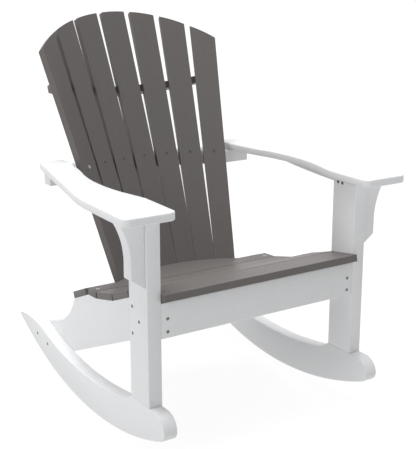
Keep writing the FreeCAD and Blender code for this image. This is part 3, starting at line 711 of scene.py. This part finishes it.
# Painted shade: the near-black laid on the socket faces, since a socket this shallow casts almost no shade of
# its own
SOCKET_SHADE = (0.085, 0.081, 0.078, 1.0)
STEEL_DUST, STEEL_DUSTY = (0.35, 0.34, 0.32, 1.0), 0.2
STEEL_MOTTLE = {"Depth": 0.12, "Patches": 700.0, "Pits": 4000.0}
STEEL_GLOSS_SPREAD = 0.06
STEEL_RELIEF = 0.00001
COATED_GROUPS = ("seat_slat_screws", "back_to_cleat_screws", "back_to_lower_rail_screws",
                 "upper_rail_to_back_screws")
# The three screws that carry the painted glint
GLINTING_SCREWS = ((-0.2507, 0.0020, 0.2940), (0.2507, 0.0020, 0.2940), (-0.1875, 0.1570, 0.5622))
GLINT_REACH = 0.005
# A ring's radius and its share of it, its depth and its share of it, and how far it is lobed
SCREW_RINGS = (
    ("Shank Radius", 0.00, "Length", 1.00, 0.0),
    ("Shank Radius", 0.30, "Length", 0.99, 0.0),
    ("Shank Radius", 1.00, "Length", 0.88, 0.0),
    ("Shank Radius", 1.00, "Head Depth", 1.00, 0.0),
    ("Head Radius", 1.00, "Head Depth", 0.25, 0.0),
    ("Head Radius", 1.00, "Head Depth", 0.10, 0.0),
    ("Head Radius", 0.93, "Head Depth", 0.00, 0.0),
    ("Socket Radius", 1.12, "Socket Depth", 0.00, 0.6),
    ("Socket Radius", 1.00, "Socket Depth", 0.25, 1.0),
    ("Socket Radius", 0.92, "Socket Depth", 0.95, 1.0),
    ("Socket Radius", 0.00, "Socket Depth", 1.00, 1.0),
)


def turned_tree(name, rings, lobes):
    """Pieces turned to a row of rings, lobed in places, one at each point with its own spin and length."""
    tree, entry = tree_with(name, "GeometryNodeTree",
                            {"Points": None, "Shank Radius": 0.002, "Head Radius": 0.004,
                             "Head Depth": 0.003, "Socket Radius": 0.002, "Socket Depth": 0.0003,
                             "Lobe Depth": 0.2, "Seed": 3, "Material": "steel"},
                            {"Pieces": None})
    sheet = node(tree, "GeometryNodeMeshGrid", {"Size X": 1.0, "Size Y": 1.0, "Vertices X": AROUND + 1,
                                                "Vertices Y": len(rings)}).outputs["Mesh"]
    place = node(tree, "GeometryNodeInputPosition").outputs["Position"]
    corner = node(tree, "ShaderNodeSeparateXYZ", {"Vector": place}).outputs
    angle = maths(tree, "MULTIPLY", maths(tree, "ADD", corner["X"], 0.5), 2 * pi)
    row = maths(tree, "MULTIPLY", maths(tree, "ADD", corner["Y"], 0.5), len(rings) - 1.0)
    ring = maths(tree, "ROUND", row)

    def by_ring(values):
        """The value of the ring that a corner lies on."""
        choice = node(tree, "GeometryNodeIndexSwitch", {"Index": ring}, data_type="FLOAT")
        while len(choice.index_switch_items) < len(rings):
            choice.index_switch_items.new()
        fill(tree, choice.inputs, dict(enumerate(values, start=1)))
        return choice.outputs["Output"]

    radius = by_ring([maths(tree, "MULTIPLY", entry[wide], share) for wide, share, _, _, _ in rings])
    depth = by_ring([0.0 if deep == "Length" else maths(tree, "MULTIPLY", entry[deep], -share)
                     for _, _, deep, share, _ in rings])
    stretch = by_ring([share if deep == "Length" else 0.0 for _, _, deep, share, _ in rings])
    lobed = by_ring([share for _, _, _, _, share in rings])
    wave = maths(tree, "MULTIPLY", maths(tree, "COSINE", maths(tree, "MULTIPLY", angle, float(lobes))),
                 maths(tree, "MULTIPLY", lobed, entry["Lobe Depth"]))
    inward_wave = maths(tree, "SUBTRACT", wave, maths(tree, "MULTIPLY", lobed, entry["Lobe Depth"]))
    lobed_radius = maths(tree, "MULTIPLY", radius, maths(tree, "ADD", 1.0, inward_wave))
    turned = joined(tree, maths(tree, "MULTIPLY", lobed_radius, maths(tree, "COSINE", angle)),
                    maths(tree, "MULTIPLY", lobed_radius, maths(tree, "SINE", angle)), depth)
    # The lobed share also marks the socket faces, where the screw material lays its painted shade
    sheet = stored(tree, stored(tree, sheet, "sunk", lobed), "stretch", stretch)
    shaped = node(tree, "GeometryNodeSetPosition", {"Geometry": sheet, "Position": turned})
    closed = node(tree, "GeometryNodeMergeByDistance",
                  {"Geometry": shaped.outputs["Geometry"], "Distance": SEAM}).outputs["Geometry"]
    inward = carried(tree, "inward", "FLOAT_VECTOR")
    upright = node(tree, "FunctionNodeAlignRotationToVector", {"Vector": scaled(tree, inward, -1.0)},
                   axis="Z").outputs["Rotation"]
    spin = node(tree, "FunctionNodeRandomValue", {"Max": 2 * pi, "Seed": entry["Seed"]}, data_type="FLOAT")
    spin_angle = next(socket for socket in spin.outputs if socket.enabled)
    turn = node(tree, "FunctionNodeAxisAngleToRotation", {"Axis": (0, 0, 1), "Angle": spin_angle})
    facing = node(tree, "FunctionNodeRotateRotation",
                  {"Rotation": upright, "Rotate By": turn.outputs["Rotation"]},
                  rotation_space="LOCAL").outputs["Rotation"]
    driven = node(tree, "GeometryNodeInstanceOnPoints", {"Points": entry["Points"], "Instance": closed,
                                                         "Rotation": facing}).outputs["Instances"]
    real = node(tree, "GeometryNodeRealizeInstances", {"Geometry": driven}).outputs["Geometry"]
    reach = maths(tree, "MULTIPLY", carried(tree, "length"), carried(tree, "stretch"))
    full = node(tree, "GeometryNodeSetPosition", {"Geometry": real, "Offset": scaled(tree, inward, reach)})
    finished = node(tree, "GeometryNodeSetMaterial", {"Geometry": full.outputs["Geometry"],
                                                      "Material": entry["Material"]})
    node(tree, "NodeGroupOutput", {"Pieces": finished.outputs["Geometry"]})
    return tree


def steel_material(name, colour, satin, metal):
    """Screw metal with a mottled skin, painted shade in its socket and dust on it. A few screws carry a
    painted glint.
    """
    material, tree, skin = new_material(name)
    mottled = layer(tree, cooled_mottle, colour, **STEEL_MOTTLE)
    # Painted glint: the listed screws take the bright steel colour
    shown = blended(tree, mark(tree, "bare"), mottled["Colour"], GLINT_STEEL)
    # Painted shade: the socket faces take the near-black
    socket_shaded = blended(tree, mark(tree, "sunk"), shown, SOCKET_SHADE)
    dusted = layer(tree, fine_dust, socket_shaded, Dust=STEEL_DUST, Amount=STEEL_DUSTY)
    gloss = mapped(tree, mottled["Patch"], 0.3, 0.7, satin - STEEL_GLOSS_SPREAD, satin + STEEL_GLOSS_SPREAD)
    fill(tree, skin, {"Base Color": dusted["Colour"], "Metallic": metal, "Roughness": gloss,
                      "Normal": bumped(tree, mottled["Pit"], STEEL_RELIEF)})
    return material


def fastened(name, group, tree, slot, material, **measures):
    """Put a turned piece at every fastener of one CAD group."""
    lines = fasteners[group]
    bare = [float(any(np.linalg.norm(line[0] - place) < GLINT_REACH for place in GLINTING_SCREWS))
            for line in lines]
    made = grown(name, tree, {"Material": material, **measures}, [line[0] for line in lines],
                 ("inward", "length", "stretch"), inward=[line[1] for line in lines],
                 length=[line[2] for line in lines], bare=bare)
    for face in made.data.polygons:
        face.use_smooth = True
    made.data.set_sharp_from_angle(angle=SHARP)
    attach(made, "root")
    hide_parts(group)


grey_screw = steel_material("grey_screw_steel", GREY_STEEL_AND_SHADE, satin=0.42, metal=0.9)
coated_screw = steel_material("coated_screw_steel", COATED_STEEL, satin=0.38, metal=0.6)
screw_tree = turned_tree("flat_headed_screws", SCREW_RINGS, SOCKET_LOBES)
for group in FASTENERS:
    if "screws" in group:
        steel = coated_screw if group in COATED_GROUPS else grey_screw
        fastened(f"turned_{group}", group, screw_tree, "screws", steel, **SCREW)

# Dowels
# Two fluted beech pegs in each bracket's joint with its post, glued and out of sight.
# Each is turned with twelve shallow flutes for the glue and is eased at both ends.
DOWEL = {"Shank Radius": 0.0050, "Lobe Depth": 0.04, "Seed": 5}
DOWEL_FLUTES = 12
DOWEL_RINGS = (
    ("Shank Radius", 0.00, "Length", 0.000, 0.0),
    ("Shank Radius", 0.80, "Length", 0.000, 0.0),
    ("Shank Radius", 1.00, "Length", 0.035, 1.0),
    ("Shank Radius", 1.00, "Length", 0.965, 1.0),
    ("Shank Radius", 0.80, "Length", 1.000, 0.0),
    ("Shank Radius", 0.00, "Length", 1.000, 0.0),
)
BEECH = (0.52, 0.36, 0.21, 1.0)
BEECH_MOTTLE = {"Depth": 0.10, "Patches": 400.0, "Pits": 2500.0}
BEECH_ROUGHNESS = 0.65
BEECH_RELIEF = 0.00005
beech, beech_tree, beech_skin = new_material("beech_dowel")
beech_grain = layer(beech_tree, cooled_mottle, BEECH, **BEECH_MOTTLE)
fill(beech_tree, beech_skin, {"Base Color": beech_grain["Colour"], "Roughness": BEECH_ROUGHNESS,
                              "Normal": bumped(beech_tree, beech_grain["Pit"], BEECH_RELIEF)})
dowel_tree = turned_tree("fluted_dowels", DOWEL_RINGS, DOWEL_FLUTES)
for group in FASTENERS:
    if "dowels" in group:
        fastened(f"fluted_{group}", group, dowel_tree, "dowels", beech, **DOWEL)
